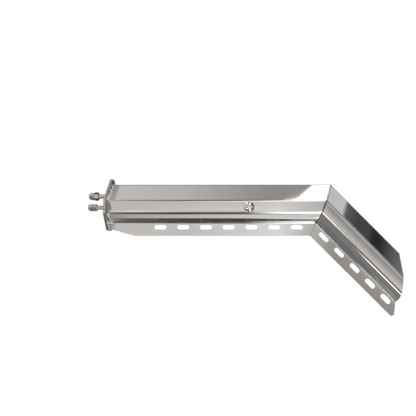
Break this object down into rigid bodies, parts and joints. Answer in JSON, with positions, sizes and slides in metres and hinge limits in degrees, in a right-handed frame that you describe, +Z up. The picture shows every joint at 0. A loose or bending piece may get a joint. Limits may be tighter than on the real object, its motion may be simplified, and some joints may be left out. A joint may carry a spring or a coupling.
{
  "type": "mud flap hanger",
  "caption": "Spring-loaded mud flap hanger: a polished stainless channel arm on a bolted end plate, bent down 45 degrees at its far part, with a slotted lower flange.",
  "frame": {"origin": "outer face of the mounting plate, halfway between its two bolts", "axes": "+X along the straight arm away from the plate, -Y the polished front, +Z up"},
  "size_m": [0.8106, 0.108, 0.3594],
  "materials": {
    "polished_stainless": "mirror polished",
    "plate_steel": "polished",
    "weld_steel": "as welded",
    "zinc_plate": "satin zinc plate",
    "chrome_bolt": "polished",
    "spring_steel": "black oxide",
    "tube_steel": "black paint"
  },
  "bodies": {
    "arm": {"arm_straight": "polished_stainless", "arm_angled": "polished_stainless", "miter_weld": "weld_steel", "mounting_plate": "plate_steel", "support_tube": "tube_steel", "upper_plate_weld": "weld_steel", "front_plate_weld": "weld_steel", "lower_plate_weld": "weld_steel", "upper_tube_weld": "weld_steel", "lower_tube_weld": "weld_steel", "carriage_bolt": "chrome_bolt", "carriage_washer": "zinc_plate", "carriage_nut": "zinc_plate", "upper_spring": "spring_steel", "upper_plate_washer": "zinc_plate", "lower_spring": "spring_steel", "lower_plate_washer": "zinc_plate"},
    "upper_bolt": {"upper_mounting_bolt": "zinc_plate", "upper_head_washer": "zinc_plate", "upper_outer_nut": "zinc_plate", "upper_inner_nut": "zinc_plate", "upper_lock_washer": "zinc_plate"},
    "lower_bolt": {"lower_mounting_bolt": "zinc_plate", "lower_head_washer": "zinc_plate", "lower_outer_nut": "zinc_plate", "lower_inner_nut": "zinc_plate"}
  },
  "joints": [
    {"name": "upper_bolt_slide", "type": "slide", "parent": "arm", "child": "upper_bolt", "axis": [-1, 0, 0], "range_m": [0, 0.019], "stiffness_N_per_m": 9600, "deforming": ["upper_spring"]},
    {"name": "lower_bolt_slide", "type": "slide", "parent": "arm", "child": "lower_bolt", "axis": [-1, 0, 0], "range_m": [0, 0.019], "stiffness_N_per_m": 9600, "deforming": ["lower_spring"]}
  ]
}
